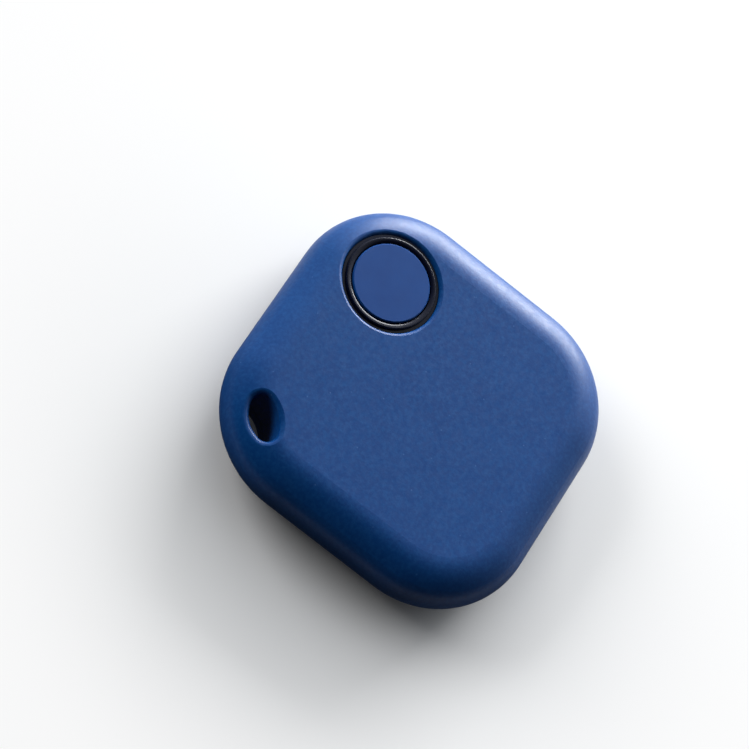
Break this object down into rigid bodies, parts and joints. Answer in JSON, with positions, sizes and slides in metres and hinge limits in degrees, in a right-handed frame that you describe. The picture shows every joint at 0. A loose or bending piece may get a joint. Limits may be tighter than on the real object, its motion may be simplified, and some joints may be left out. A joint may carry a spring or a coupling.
{
  "type": "bluetooth tracker tag",
  "caption": "Soft-edged square key tag with a round push button in a black bezel and a keyring slot through one corner; the front cover lifts off a circuit board and coin cell.",
  "frame": {"origin": "centre of the rear face", "axes": "+Z out of the front face, where the button is; X and Y along the square's sides, the keyring slot at the -X +Y corner and the button near the +X +Y corner"},
  "size_m": [0.038, 0.038, 0.0074],
  "materials": {
    "shell_blue": "soft-touch moulded plastic, very fine grain",
    "button_blue": "smooth satin plastic",
    "bezel_black": "polished black",
    "board_green": "solder mask",
    "cell_steel": "nickel-plated, brushed",
    "clip_steel": "tin-plated spring strip",
    "contact_gold": "gold flash on spring strip",
    "gasket_white": "moulded seal",
    "lithium_grey": "dull metal disc",
    "separator_white": "thin felt",
    "pellet_black": "pressed powder",
    "foam_black": "closed-cell foam",
    "switch_black": "moulded",
    "plunger_white": "moulded",
    "lead_tin": "tinned",
    "buzzer_black": "moulded",
    "buzzer_board": "moulded plate",
    "coil_copper": "enamelled winding",
    "magnet_grey": "sintered",
    "chip_black": "moulded package",
    "ceramic_white": "fired ceramic",
    "crystal_can": "plated lid",
    "ceramic_tan": "fired ceramic with tinned ends",
    "resistor_black": "glazed film with tinned ends",
    "ferrite_grey": "ferrite"
  },
  "bodies": {
    "base": {"rear_shell": "shell_blue", "circuit_board": "board_green", "cell_can": "cell_steel", "cell_gasket": "gasket_white", "cell_cap": "cell_steel", "cell_anode": "lithium_grey", "cell_separator": "separator_white", "cell_cathode": "pellet_black", "cell_clip": "clip_steel", "negative_contact": "contact_gold", "switch_base": "switch_black", "switch_terminals": "lead_tin", "switch_dome": "clip_steel", "switch_frame": "lead_tin", "buzzer_base": "buzzer_board", "buzzer_coil": "coil_copper", "buzzer_magnet": "magnet_grey", "buzzer_diaphragm": "clip_steel", "buzzer_case": "buzzer_black", "buzzer_feet": "lead_tin", "bluetooth_chip": "chip_black", "chip_antenna": "ceramic_white", "main_crystal": "crystal_can", "watch_crystal": "crystal_can", "capacitors": "ceramic_tan", "resistors": "resistor_black", "inductors": "ferrite_grey", "driver_transistor": "chip_black", "transistor_leads": "lead_tin"},
    "cover": {"front_shell": "shell_blue", "button_ring": "bezel_black", "cell_pad": "foam_black"},
    "button": {"button_cap": "button_blue"},
    "plunger": {"switch_plunger": "plunger_white"}
  },
  "joints": [
    {"name": "cover_lift", "type": "slide", "parent": "base", "child": "cover", "axis": [0, 0, 1], "range_m": [0, 0.02]},
    {"name": "button_press", "type": "slide", "parent": "cover", "child": "button", "axis": [0, 0, -1], "range_m": [0, 0.00025], "stiffness_N_per_m": 2000},
    {"name": "plunger_press", "type": "slide", "parent": "base", "child": "plunger", "axis": [0, 0, -1], "range_m": [0, 0.00025], "deforming": ["switch_dome"]}
  ],
  "couplings": [
    {"joint": "plunger_press", "follows": "button_press", "ratio": 1}
  ]
}
